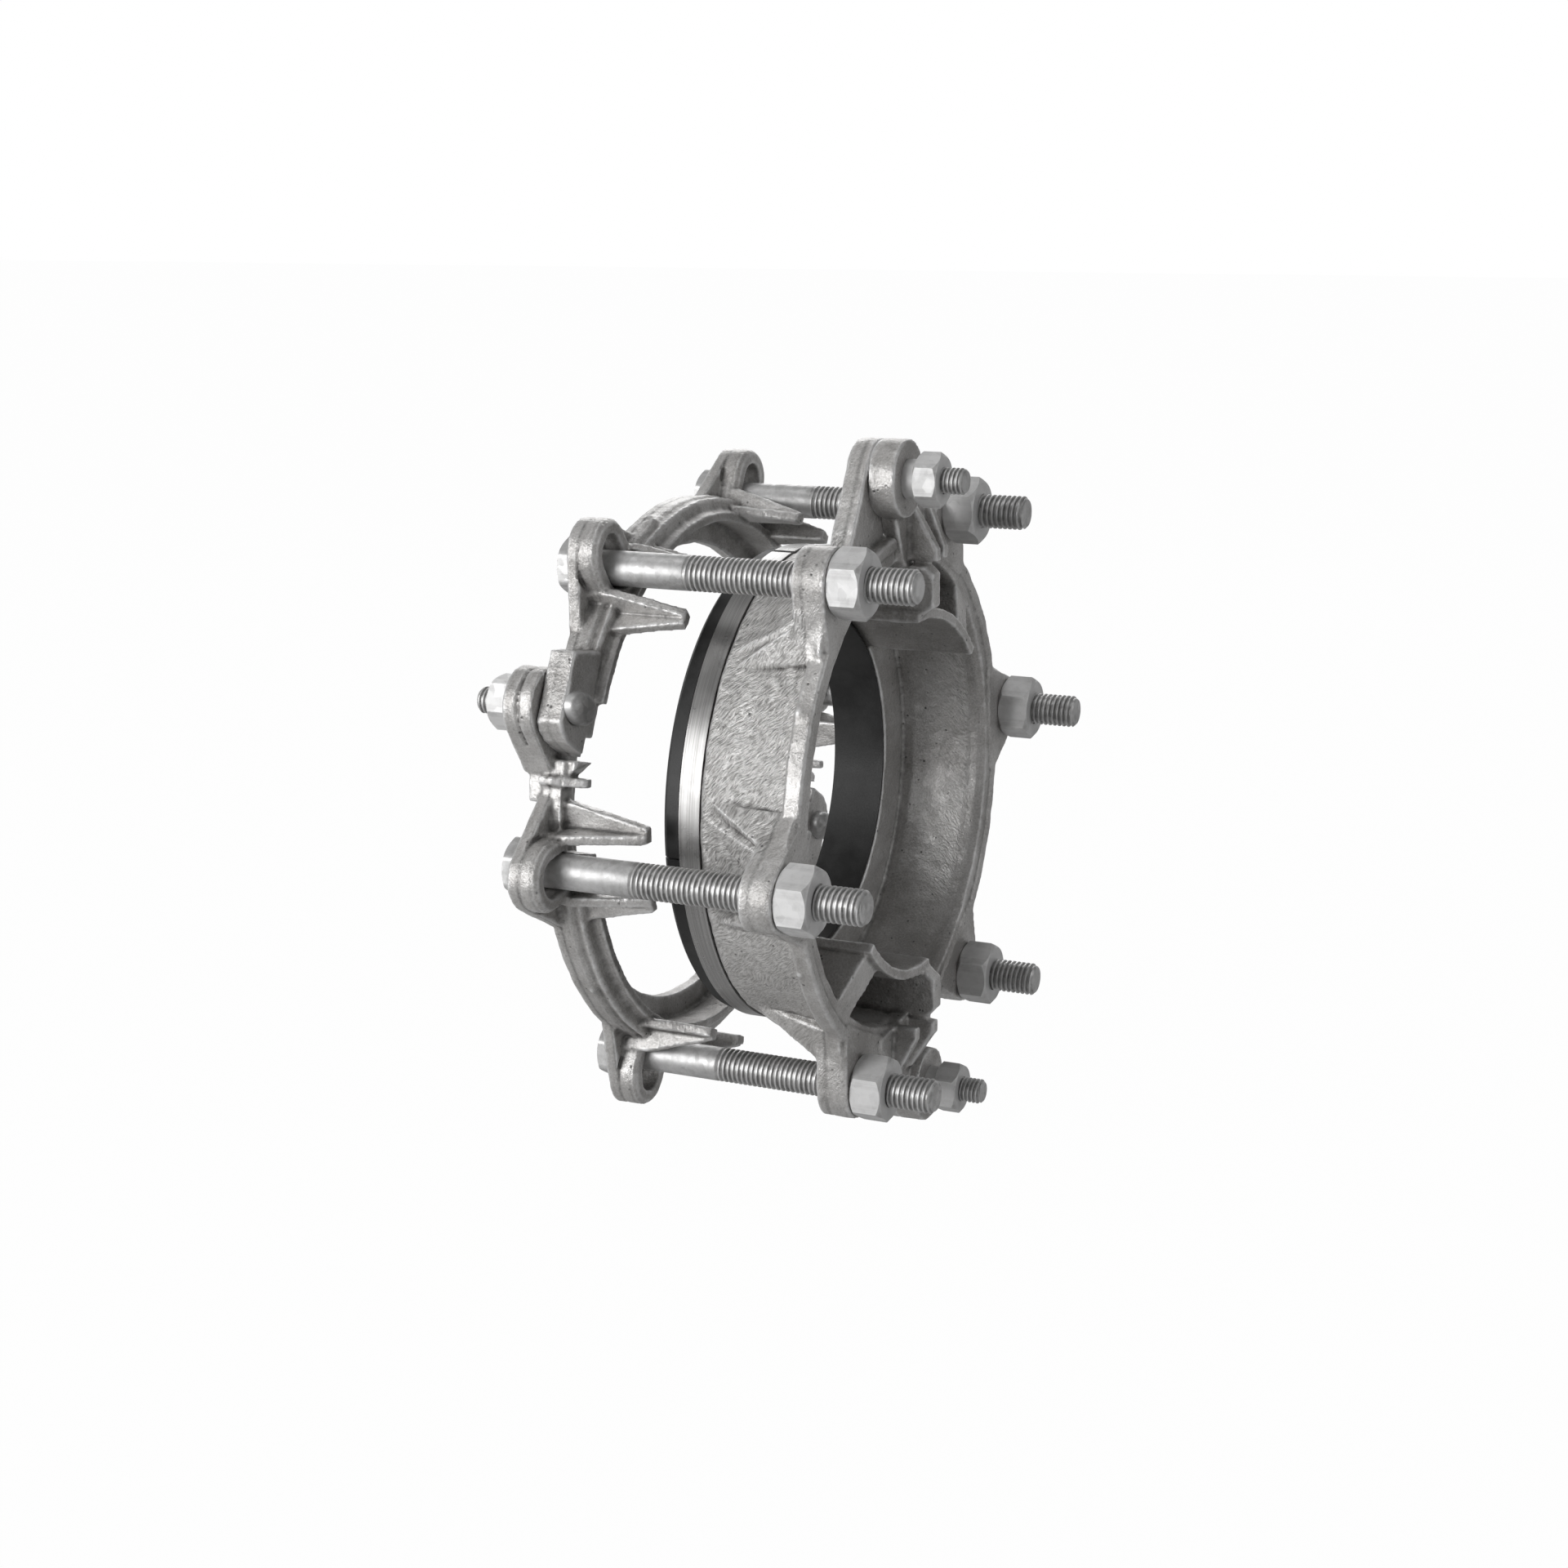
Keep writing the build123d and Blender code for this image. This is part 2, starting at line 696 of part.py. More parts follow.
def gasket_solid():
    """Rubber ring, cut through once so that it wraps round the pipe."""
    cut_angle = gland_split_angle + 90
    cut_degrees = 360 * gasket_cut / (2 * pi * pipe_r)
    with BuildPart() as gasket:
        with BuildSketch(half_turn_plane(cut_angle)):
            with BuildLine():
                Polyline(
                    (bell_face_x, pipe_r),
                    (bell_face_x, gasket_r - 1.5),
                    (bell_face_x + 1.5, gasket_r),
                    (band_left_x - 1.0, gasket_r),
                    (band_left_x, gasket_band_r),
                    (drum_left_x, gasket_band_r),
                    (drum_left_x, pipe_r + gland_web_clearance - gasket_seat_clearance),
                    (drum_left_x + gasket_lip, pipe_r + 0.8),
                    (drum_left_x + gasket_lip, pipe_r),
                    close=True,
                )
            make_face()
        revolve(axis=Axis.X, revolution_arc=360 - cut_degrees)
    gasket.part.label = "gasket"
    return gasket.part


def band_half(split, name):
    """Half of the bright steel band that keeps the gasket from spreading."""
    with BuildPart() as band:
        with BuildSketch(half_turn_plane(split + split_gap_angle)):
            with Locations((band_left_x, gasket_band_r)):
                Rectangle(drum_left_x - band_left_x, band_thickness, align=(Align.MIN, Align.MIN))
        revolve(axis=Axis.X, revolution_arc=180 - 2 * split_gap_angle)
    band.part.label = name
    return band.part


def write(part, name):
    """Write one piece as a STEP file of the same name."""
    part.label = name
    export_step(part, f"parts/{name}.step")


os.makedirs("parts", exist_ok=True)

write(bell_half_solid(bell_split_angle - 180, "bell_ring_upper"), "bell_ring_upper")
write(bell_half_solid(bell_split_angle, "bell_ring_lower"), "bell_ring_lower")
write(gland_half_solid(gland_split_angle, "gland_ring_front"), "gland_ring_front")
write(gland_half_solid(gland_split_angle + 180, "gland_ring_rear"), "gland_ring_rear")
write(gasket_solid(), "gasket")
write(band_half(gland_split_angle, "gasket_band_front"), "gasket_band_front")
write(band_half(gland_split_angle + 180, "gasket_band_rear"), "gasket_band_rear")

for index, letter in enumerate("abcdef"):
    angle = first_ear_angle + ear_pitch * index
    write(tie_bolt(angle), f"tie_bolt_{letter}")
    nut = hex_fastener_nut(
        angle, bolt_circle_r, gland_face_x, tie_nut_flats, tie_nut_height, tie_r + nut_running_clearance
    )
    write(nut, f"tie_nut_{letter}")

# Bell ring joint bolts: hammer heads on the right, nuts on the left
bell_nut_x = bell_plate_left_x - joint_nut_height
bell_bolt_end_x = bell_nut_x - bell_end_past_nut
joint_nut_bore = joint_r + nut_running_clearance
for place, angle in (("front", bell_split_angle), ("rear", bell_split_angle + 180)):
    bolt = joint_bolt(angle, bell_joint_r, block_right_x, bell_bolt_end_x, True)
    write(bolt, f"bell_joint_bolt_{place}")
    nut = hex_fastener_nut(
        angle, bell_joint_r, bell_nut_x, joint_nut_flats, joint_nut_height, joint_nut_bore, bell_nut_turn
    )
    write(nut, f"bell_joint_nut_{place}")

# Gland ring joint bolts: round heads sunk in the left plates, washers and nuts on the right
boss_right_x = boss_left_x + gland_boss_thickness
gland_nut_x = boss_right_x + joint_washer_thickness
gland_bolt_end_x = gland_nut_x + joint_nut_height + gland_end_past_nut
for place, angle in (("top", gland_split_angle), ("bottom", gland_split_angle + 180)):
    bolt = joint_bolt(angle, gland_joint_r, plate_left_x + round_head_pocket, gland_bolt_end_x, False)
    write(bolt, f"gland_joint_bolt_{place}")
    write(ring_washer(angle, gland_joint_r, boss_right_x), f"gland_joint_washer_{place}")
    nut = hex_fastener_nut(
        angle, gland_joint_r, gland_nut_x, joint_nut_flats, joint_nut_height, joint_nut_bore
    )
    write(nut, f"gland_joint_nut_{place}")
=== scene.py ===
import bmesh
import bpy
from math import cos, pi, radians, sin, sqrt

import numpy as np
from mathutils import Matrix, Vector


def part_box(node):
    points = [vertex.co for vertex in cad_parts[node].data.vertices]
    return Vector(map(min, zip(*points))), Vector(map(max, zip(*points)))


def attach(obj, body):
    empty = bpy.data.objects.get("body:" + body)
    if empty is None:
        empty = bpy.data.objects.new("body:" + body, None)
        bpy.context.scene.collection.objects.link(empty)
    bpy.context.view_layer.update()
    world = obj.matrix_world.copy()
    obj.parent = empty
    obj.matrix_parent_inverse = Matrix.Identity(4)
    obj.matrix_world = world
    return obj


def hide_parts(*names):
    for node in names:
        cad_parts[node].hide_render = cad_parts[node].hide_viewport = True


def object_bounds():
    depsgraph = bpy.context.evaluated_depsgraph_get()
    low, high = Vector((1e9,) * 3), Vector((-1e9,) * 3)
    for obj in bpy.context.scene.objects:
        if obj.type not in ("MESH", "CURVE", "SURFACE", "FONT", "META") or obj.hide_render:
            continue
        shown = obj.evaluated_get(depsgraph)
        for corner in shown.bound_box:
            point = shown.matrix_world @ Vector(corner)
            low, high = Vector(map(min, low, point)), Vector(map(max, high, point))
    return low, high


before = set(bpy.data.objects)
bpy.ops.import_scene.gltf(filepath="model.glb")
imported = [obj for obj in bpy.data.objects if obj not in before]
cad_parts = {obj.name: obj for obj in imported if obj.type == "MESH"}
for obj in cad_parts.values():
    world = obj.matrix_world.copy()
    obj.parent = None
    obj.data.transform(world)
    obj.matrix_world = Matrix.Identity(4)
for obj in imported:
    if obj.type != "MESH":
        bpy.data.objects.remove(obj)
cad_box = [list(corner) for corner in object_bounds()]

# Sizes of the clamp that the dressed pieces repeat, in metres
MM = 0.001
BOLT_CIRCLE = 110.0 * MM
FIRST_EAR = 37.0
EAR_PITCH = 60.0
BELL_SPLIT = 67.0
GLAND_SPLIT = 7.0
HALF_RING = 6.0 * MM
TIE_R = 6.35 * MM
TIE_LENGTH = 127.0 * MM
TIE_PITCH = 1.954 * MM
TIE_THREAD_START = 34.0 * MM
TIE_HEAD_FLATS = 19.05 * MM
TIE_HEAD_HEIGHT = 8.0 * MM
THREAD_DEPTH_SHARE = 0.44
# Thread form over one pitch: where its corners lie, and whether each is on the crest
THREAD_FORM = ((0.0, 0), (0.16, 0), (0.38, 1), (0.62, 1), (0.84, 0), (0.92, 0))
THREAD_CHAMFER = 0.9
THREAD_RUNOUT = 1.5
END_CONE = 0.25
JOINT_R = 4.76 * MM
JOINT_PITCH = 1.5875 * MM
JOINT_THREAD = 16.0 * MM
HAMMER_HEAD = (17.5 * MM, 11.5 * MM, 5.2 * MM)
ROUND_HEAD = (17.2 * MM, 17.2 * MM, 3.6 * MM)
DRUM_R = (0.0855, 0.1115)
DRUM_X = (0.0487, 0.0838)
EAR_X = (0.0770, 0.0900)
EAR_LOW_R = 0.1010
DRUM_MEAN_R = 0.09
STROKE_SLANT = 0.75
STROKE_BEND = 0.009

# Where each body's pieces ride
BELL_BODY = "bell_end"
GLAND_BODY = "gland_end"


# Node tools

def socket_value(node, name, value):
    """Sets one input of a node by its name."""
    node.inputs[name].default_value = value


def new_group(name, inputs, outputs):
    """Starts a shader node group with named float, colour or vector sockets."""
    group = bpy.data.node_groups.new(name, "ShaderNodeTree")
    kinds = {"float": "NodeSocketFloat", "colour": "NodeSocketColor", "vector": "NodeSocketVector"}
    for label, kind, value in inputs:
        made = group.interface.new_socket(name=label, in_out="INPUT", socket_type=kinds[kind])
        if value is not None:
            made.default_value = value
    for label, kind in outputs:
        group.interface.new_socket(name=label, in_out="OUTPUT", socket_type=kinds[kind])
    ends = group.nodes.new("NodeGroupInput"), group.nodes.new("NodeGroupOutput")
    return group, ends[0], ends[1]


def noise(tree, scale, detail, roughness, vector):
    """Noise texture node fed with a position."""
    node = tree.nodes.new("ShaderNodeTexNoise")
    socket_value(node, "Scale", scale)
    socket_value(node, "Detail", detail)
    socket_value(node, "Roughness", roughness)
    tree.links.new(vector, node.inputs["Vector"])
    return node


def ramp(tree, source, low, high, low_value=0.0, high_value=1.0):
    """Map Range node that turns low..high of a value into low_value..high_value."""
    node = tree.nodes.new("ShaderNodeMapRange")
    socket_value(node, "From Min", low)
    socket_value(node, "From Max", high)
    socket_value(node, "To Min", low_value)
    socket_value(node, "To Max", high_value)
    tree.links.new(source, node.inputs["Value"])
    return node.outputs["Result"]


def maths(tree, operation, first, second):
    """Math node with two inputs, each a socket or a plain number."""
    node = tree.nodes.new("ShaderNodeMath")
    node.operation = operation
    for index, value in enumerate((first, second)):
        if isinstance(value, (int, float)):
            node.inputs[index].default_value = value
        else:
            tree.links.new(value, node.inputs[index])
    return node.outputs[0]


def blend_colours(tree, factor, first, second):
    """Mix Color node with two colours, each a socket or a plain colour."""
    node = tree.nodes.new("ShaderNodeMix")
    node.data_type = "RGBA"
    tree.links.new(factor, node.inputs[0])
    for index, value in ((6, first), (7, second)):
        if isinstance(value, tuple):
            node.inputs[index].default_value = value
        else:
            tree.links.new(value, node.inputs[index])
    return node.outputs[2]


def grey(value, warmth=0.0):
    """Grey colour, a little warm where warmth is over 0."""
    return (value * (1 + warmth), value, value * (1 - warmth), 1.0)


# Shared effects

def build_cast_skin_group():
    """Skin of a sand casting: soft lumps, a fine grain and sparse pits; the casting paints shade into the
    pits with their mask.
    """
    group, inside, outside = new_group(
        "cast_skin",
        [("Position", "vector", None), ("Lump Scale", "float", 160.0), ("Grain Scale", "float", 900.0),
         ("Pits", "float", 0.5)],
        [("Height", "float"), ("Mottle", "float"), ("Pit Mask", "float")],
    )
    lumps = noise(group, 160.0, 3.0, 0.55, inside.outputs["Position"])
    group.links.new(inside.outputs["Lump Scale"], lumps.inputs["Scale"])
    grain = noise(group, 900.0, 4.0, 0.6, inside.outputs["Position"])
    group.links.new(inside.outputs["Grain Scale"], grain.inputs["Scale"])
    pits = group.nodes.new("ShaderNodeTexVoronoi")
    pits.feature = "F1"
    socket_value(pits, "Scale", 330.0)
    group.links.new(inside.outputs["Position"], pits.inputs["Vector"])
    pit_spots = ramp(group, pits.outputs["Distance"], 0.10, 0.22, 1.0, 0.0)
    pit_gate = ramp(group, lumps.outputs["Fac"], 0.53, 0.62)
    gated = maths(group, "MULTIPLY", pit_spots, pit_gate)
    pit_mask = maths(group, "MULTIPLY", gated, inside.outputs["Pits"])
    height = maths(group, "ADD", lumps.outputs["Fac"], maths(group, "MULTIPLY", grain.outputs["Fac"], 0.42))
    height = maths(group, "SUBTRACT", height, maths(group, "MULTIPLY", pit_mask, 0.35))
    broad = noise(group, 34.0, 3.0, 0.6, inside.outputs["Position"])
    mottle = maths(group, "ADD", maths(group, "MULTIPLY", broad.outputs["Fac"], 0.6),
                   maths(group, "MULTIPLY", grain.outputs["Fac"], 0.4))
    group.links.new(height, outside.inputs["Height"])
    group.links.new(mottle, outside.inputs["Mottle"])
    group.links.new(pit_mask, outside.inputs["Pit Mask"])
    return group


def build_drum_strokes_group():
    """Short slanted strokes of the drum's coarse sand mould, only between two radii and two ends."""
    group, inside, outside = new_group(
        "drum_strokes",
        [("Position", "vector", None), ("Length Scale", "float", 260.0),
         ("Width Scale", "float", 1150.0)],
        [("Height", "float"), ("Mask", "float")],
    )
    split = group.nodes.new("ShaderNodeSeparateXYZ")
    group.links.new(inside.outputs["Position"], split.inputs["Vector"])
    along, across, up = split.outputs["X"], split.outputs["Y"], split.outputs["Z"]
    round_r = maths(group, "SQRT", maths(group, "ADD", maths(group, "MULTIPLY", across, across),
                                         maths(group, "MULTIPLY", up, up)), 0.0)
    way_round = maths(group, "MULTIPLY", maths(group, "ARCTAN2", across, up), DRUM_MEAN_R)
    drift = noise(group, 60.0, 2.0, 0.5, inside.outputs["Position"])
    bent = maths(group, "MULTIPLY", maths(group, "SUBTRACT", drift.outputs["Fac"], 0.5), STROKE_BEND)
    lie, stand = cos(STROKE_SLANT), sin(STROKE_SLANT)
    first = maths(group, "ADD", maths(group, "MULTIPLY", along, lie),
                  maths(group, "MULTIPLY", way_round, stand))
    second = maths(group, "SUBTRACT", maths(group, "MULTIPLY", way_round, lie),
                   maths(group, "MULTIPLY", along, stand))
    place = group.nodes.new("ShaderNodeCombineXYZ")
    group.links.new(maths(group, "MULTIPLY", first, inside.outputs["Length Scale"]), place.inputs["X"])
    second = maths(group, "ADD", second, bent)
    group.links.new(maths(group, "MULTIPLY", second, inside.outputs["Width Scale"]), place.inputs["Y"])
    group.links.new(maths(group, "MULTIPLY", round_r, 120.0), place.inputs["Z"])
    strokes = noise(group, 1.0, 3.0, 0.6, place.outputs["Vector"])
    ends = maths(group, "MULTIPLY", ramp(group, along, DRUM_X[0], DRUM_X[0] + 0.002),
                 ramp(group, along, DRUM_X[1], DRUM_X[1] - 0.002))
    band = maths(group, "MULTIPLY", ramp(group, round_r, DRUM_R[0], DRUM_R[0] + 0.002),
                 ramp(group, round_r, DRUM_R[1], DRUM_R[1] - 0.002))
    ears = maths(group, "MULTIPLY", ramp(group, along, EAR_X[0], EAR_X[0] + 0.001),
                 ramp(group, along, EAR_X[1], EAR_X[1] - 0.001))
    ears = maths(group, "MULTIPLY", ears, ramp(group, round_r, EAR_LOW_R, EAR_LOW_R + 0.003, 0.0, 0.22))
    worn = ramp(group, up, -0.075, -0.005, 0.35, 1.0)
    band = maths(group, "MULTIPLY", band, worn)
    group.links.new(strokes.outputs["Fac"], outside.inputs["Height"])
    mask = maths(group, "MAXIMUM", maths(group, "MULTIPLY", ends, band), ears)
    group.links.new(mask, outside.inputs["Mask"])
    return group


def build_edge_sheen_and_shade_group():
    """Masks for painted light: one high on outer edges for painted highlights, one high in inner corners
    for painted shade.
    """
    group, inside, outside = new_group(
        "edge_sheen_and_corner_shade", [("Position", "vector", None), ("Reach", "float", 0.5)],
        [("Edge", "float"), ("Crevice", "float")],
    )
    geometry = group.nodes.new("ShaderNodeNewGeometry")
    broken = noise(group, 420.0, 3.0, 0.6, inside.outputs["Position"])
    shift = maths(group, "MULTIPLY", maths(group, "SUBTRACT", broken.outputs["Fac"], 0.5), 0.06)
    pointed = maths(group, "ADD", geometry.outputs["Pointiness"], shift)
    edge = maths(group, "MULTIPLY", ramp(group, pointed, 0.515, 0.575), inside.outputs["Reach"])
    crevice = ramp(group, pointed, 0.485, 0.42)
    group.links.new(edge, outside.inputs["Edge"])
    group.links.new(crevice, outside.inputs["Crevice"])
    return group


def build_cast_relief_group():
    """Masks of a casting from its stored relief: outer edges, inner corners and parting lines."""
    group, inside, outside = new_group(
        "cast_relief", [("Position", "vector", None), ("Reach", "float", 0.5)],
        [("Edge", "float"), ("Crevice", "float"), ("Seam", "float")],
    )
    relief = group.nodes.new("ShaderNodeAttribute")
    relief.attribute_name = "relief"
    seam = group.nodes.new("ShaderNodeAttribute")
    seam.attribute_name = "seam"
    broken = noise(group, 380.0, 3.0, 0.6, inside.outputs["Position"])
    shift = maths(group, "MULTIPLY", maths(group, "SUBTRACT", broken.outputs["Fac"], 0.5), 0.9)
    shaped = maths(group, "ADD", relief.outputs["Fac"], shift)
    edge = maths(group, "MULTIPLY", ramp(group, shaped, 0.25, 1.0), inside.outputs["Reach"])
    hollow = maths(group, "ADD", relief.outputs["Fac"], maths(group, "MULTIPLY", shift, 0.35))
    crevice = ramp(group, hollow, -0.12, -0.75)
    group.links.new(edge, outside.inputs["Edge"])
    group.links.new(crevice, outside.inputs["Crevice"])
    gaps = ramp(group, broken.outputs["Fac"], 0.34, 0.5)
    group.links.new(maths(group, "MULTIPLY", seam.outputs["Fac"], gaps), outside.inputs["Seam"])
    return group


def build_plating_group():
    """Zinc plating: faint spangle and handling scuffs."""
    group, inside, outside = new_group(
        "zinc_plating", [("Position", "vector", None), ("Spangle Scale", "float", 500.0)],
        [("Tone", "float"), ("Scuff", "float"), ("Height", "float")],
    )
    cells = group.nodes.new("ShaderNodeTexVoronoi")
    group.links.new(inside.outputs["Spangle Scale"], cells.inputs["Scale"])
    group.links.new(inside.outputs["Position"], cells.inputs["Vector"])
    tone = group.nodes.new("ShaderNodeSeparateColor")
    group.links.new(cells.outputs["Color"], tone.inputs["Color"])
    cloud = noise(group, 120.0, 4.0, 0.65, inside.outputs["Position"])
    mixed = maths(group, "ADD", maths(group, "MULTIPLY", tone.outputs["Red"], 0.35),
                  maths(group, "MULTIPLY", cloud.outputs["Fac"], 0.65))
    fine = noise(group, 1500.0, 3.0, 0.6, inside.outputs["Position"])
    scuff = ramp(group, maths(group, "MULTIPLY", cloud.outputs["Fac"], fine.outputs["Fac"]), 0.26, 0.36)
    height = maths(group, "ADD", maths(group, "MULTIPLY", cloud.outputs["Fac"], 0.6),
                   maths(group, "MULTIPLY", fine.outputs["Fac"], 0.4))
    group.links.new(mixed, outside.inputs["Tone"])
    group.links.new(scuff, outside.inputs["Scuff"])
    group.links.new(height, outside.inputs["Height"])
    return group


CAST_SKIN = build_cast_skin_group()
DRUM_STROKES = build_drum_strokes_group()
EDGE_SHEEN_AND_SHADE = build_edge_sheen_and_shade_group()
CAST_RELIEF = build_cast_relief_group()
PLATING = build_plating_group()


def start_material(name):
    """Empty Principled material with the object's own position as its texture space."""
    material = bpy.data.materials.new(name)
    material.use_nodes = True
    tree = material.node_tree
    shader = tree.nodes["Principled BSDF"]
    place = tree.nodes.new("ShaderNodeTexCoord")
    return material, tree, shader, place.outputs["Object"]


def use_group(tree, group, position, **values):
    """Places a shared effect in a material with this material's own values."""
    node = tree.nodes.new("ShaderNodeGroup")
    node.node_tree = group
    tree.links.new(position, node.inputs["Position"])
    for label, value in values.items():
        node.inputs[label.replace("_", " ")].default_value = value
    return node


def bump(tree, shader, height, strength, distance):
    """Bump node that feeds the shader's normal."""
    node = tree.nodes.new("ShaderNodeBump")
    socket_value(node, "Strength", strength)
    socket_value(node, "Distance", distance)
    tree.links.new(height, node.inputs["Height"])
    tree.links.new(node.outputs["Normal"], shader.inputs["Normal"])


def cast_iron_material():
    """Galvanised rough casting: pale grey, with painted highlights on its edges and painted shade in its
    corners and pits.
    """
    material, tree, shader, position = start_material("galvanised_casting")
    skin = use_group(tree, CAST_SKIN, position, Lump_Scale=210.0, Grain_Scale=1300.0, Pits=0.85)
    strokes = use_group(tree, DRUM_STROKES, position, Length_Scale=370.0, Width_Scale=1600.0)
    sheen_and_shade_masks = use_group(tree, CAST_RELIEF, position, Reach=0.85)
    tone = blend_colours(tree, ramp(tree, skin.outputs["Mottle"], 0.40, 0.60),
                         grey(0.36, 0.03), grey(0.60, 0.015))
    stroke_tone = blend_colours(tree, ramp(tree, strokes.outputs["Height"], 0.36, 0.60),
                                grey(0.24, 0.03), grey(0.98, 0.01))
    tone = blend_colours(tree, maths(tree, "MULTIPLY", strokes.outputs["Mask"], 0.62), tone, stroke_tone)
    # Painted shade: the pits are darkened to near black.
    tone = blend_colours(tree, skin.outputs["Pit Mask"], tone, grey(0.06, 0.02))
    # Painted shade: inner corners and creases are darkened.
    painted_corner_shade = maths(tree, "MULTIPLY", sheen_and_shade_masks.outputs["Crevice"], 0.74)
    tone = blend_colours(tree, painted_corner_shade, tone, grey(0.06, 0.05))
    # Painted highlight: outer edges are lightened.
    tone = blend_colours(tree, sheen_and_shade_masks.outputs["Edge"], tone, grey(0.86))
    tone = blend_colours(tree, sheen_and_shade_masks.outputs["Seam"], tone, grey(0.03, 0.02))
    tree.links.new(tone, shader.inputs["Base Color"])
    socket_value(shader, "Metallic", 0.55)
    socket_value(shader, "Specular IOR Level", 0.5)
    rough = ramp(tree, skin.outputs["Mottle"], 0.35, 0.65, 0.48, 0.36)
    tree.links.new(rough, shader.inputs["Roughness"])
    stroke_height = maths(tree, "MULTIPLY", strokes.outputs["Height"],
                          maths(tree, "MULTIPLY", strokes.outputs["Mask"], 1.9))
    bump(tree, shader, maths(tree, "ADD", skin.outputs["Height"], stroke_height), 0.75, 0.0006)
    return material


def zinc_material(name, dark, light, metallic, rough_low, rough_high, spangle, unevenness):
    """Zinc-plated steel of a bolt or nut, with a dark and a light tone and two roughness values."""
    material, tree, shader, position = start_material(name)
    plating = use_group(tree, PLATING, position, Spangle_Scale=spangle)
    sheen_and_shade_masks = use_group(tree, EDGE_SHEEN_AND_SHADE, position, Reach=0.6)
    tone = blend_colours(tree, ramp(tree, plating.outputs["Tone"], 0.25, 0.75),
                         grey(dark, 0.01), grey(light, 0.005))
    # Painted shade: inner corners and thread roots are darkened.
    painted_corner_shade = maths(tree, "MULTIPLY", sheen_and_shade_masks.outputs["Crevice"], 0.85)
    tone = blend_colours(tree, painted_corner_shade, tone, grey(0.04, 0.03))
    # Painted highlight: outer edges are lightened.
    tone = blend_colours(tree, sheen_and_shade_masks.outputs["Edge"], tone, grey(0.88))
    tree.links.new(tone, shader.inputs["Base Color"])
    socket_value(shader, "Metallic", metallic)
    rough = ramp(tree, plating.outputs["Tone"], 0.25, 0.75, rough_high, rough_low)
    tree.links.new(rough, shader.inputs["Roughness"])
    bump(tree, shader, plating.outputs["Height"], unevenness, 0.0002)
    return material


def turned_band_material():
    """Bright turned steel: fine lines round the band."""
    material, tree, shader, position = start_material("turned_steel_band")
    split = tree.nodes.new("ShaderNodeSeparateXYZ")
    tree.links.new(position, split.inputs["Vector"])
    along = tree.nodes.new("ShaderNodeCombineXYZ")
    tree.links.new(maths(tree, "MULTIPLY", split.outputs["X"], 4200.0), along.inputs["X"])
    tree.links.new(maths(tree, "MULTIPLY", split.outputs["Y"], 14.0), along.inputs["Y"])
    tree.links.new(maths(tree, "MULTIPLY", split.outputs["Z"], 14.0), along.inputs["Z"])
    lines = noise(tree, 1.0, 2.0, 0.5, along.outputs["Vector"])
    stains = noise(tree, 60.0, 4.0, 0.6, position)
    tone = blend_colours(tree, ramp(tree, lines.outputs["Fac"], 0.3, 0.7),
                         grey(0.20, 0.02), grey(0.40, 0.01))
    tone = blend_colours(tree, ramp(tree, stains.outputs["Fac"], 0.58, 0.75, 0.0, 0.35),
                         tone, grey(0.30, 0.02))
    tree.links.new(tone, shader.inputs["Base Color"])
    socket_value(shader, "Metallic", 0.7)
    tree.links.new(ramp(tree, stains.outputs["Fac"], 0.35, 0.7, 0.24, 0.42), shader.inputs["Roughness"])
    bump(tree, shader, lines.outputs["Fac"], 0.25, 0.0001)
    return material


def rubber_material():
    """Black moulded rubber with a faint bloom."""
    material, tree, shader, position = start_material("black_rubber")
    bloom = noise(tree, 45.0, 5.0, 0.65, position)
    grain = noise(tree, 1300.0, 3.0, 0.6, position)
    tone = blend_colours(tree, ramp(tree, bloom.outputs["Fac"], 0.45, 0.75), grey(0.012), grey(0.045))
    tree.links.new(tone, shader.inputs["Base Color"])
    tree.links.new(ramp(tree, bloom.outputs["Fac"], 0.35, 0.7, 0.42, 0.62), shader.inputs["Roughness"])
    socket_value(shader, "Specular IOR Level", 0.45)
    bump(tree, shader, grain.outputs["Fac"], 0.25, 0.0002)
    return material


CASTING = cast_iron_material()
BOLT_ZINC = zinc_material("zinc_bolt", 0.29, 0.50, 0.68, 0.42, 0.56, 420.0, 0.12)
NUT_ZINC = zinc_material("zinc_nut", 0.46, 0.66, 0.36, 0.46, 0.60, 300.0, 0.22)
BAND = turned_band_material()
RUBBER = rubber_material()


# Mesh tools

def out_at(angle):
    """Direction out from the pipe axis at an angle round it."""
    return Vector((0, -sin(radians(angle)), cos(radians(angle))))


def side_at(angle):
    """Direction round the pipe towards higher angles."""
    return Vector((0, -cos(radians(angle)), -sin(radians(angle))))


def make_object(name, points, faces, material):
    """Mesh object from points and faces, with doubled points merged."""
    mesh = bpy.data.meshes.new(name)
    mesh.from_pydata([tuple(p) for p in points], [], faces)
    shape = bmesh.new()
    shape.from_mesh(mesh)
    bmesh.ops.remove_doubles(shape, verts=shape.verts, dist=1e-6)
    bmesh.ops.recalc_face_normals(shape, faces=shape.faces)
    shape.to_mesh(mesh)
    shape.free()
    for face in mesh.polygons:
        face.use_smooth = True
    mesh.set_sharp_from_angle(angle=radians(38))
    mesh.materials.append(material)
    made = bpy.data.objects.new(name, mesh)
    bpy.context.scene.collection.objects.link(made)
    return made


def settle(made):
    """Applies all modifiers of an object to its mesh."""
    view = bpy.context.evaluated_depsgraph_get()
    mesh = bpy.data.meshes.new_from_object(made.evaluated_get(view))
    made.modifiers.clear()
    old = made.data
    made.data = mesh
    bpy.data.meshes.remove(old)


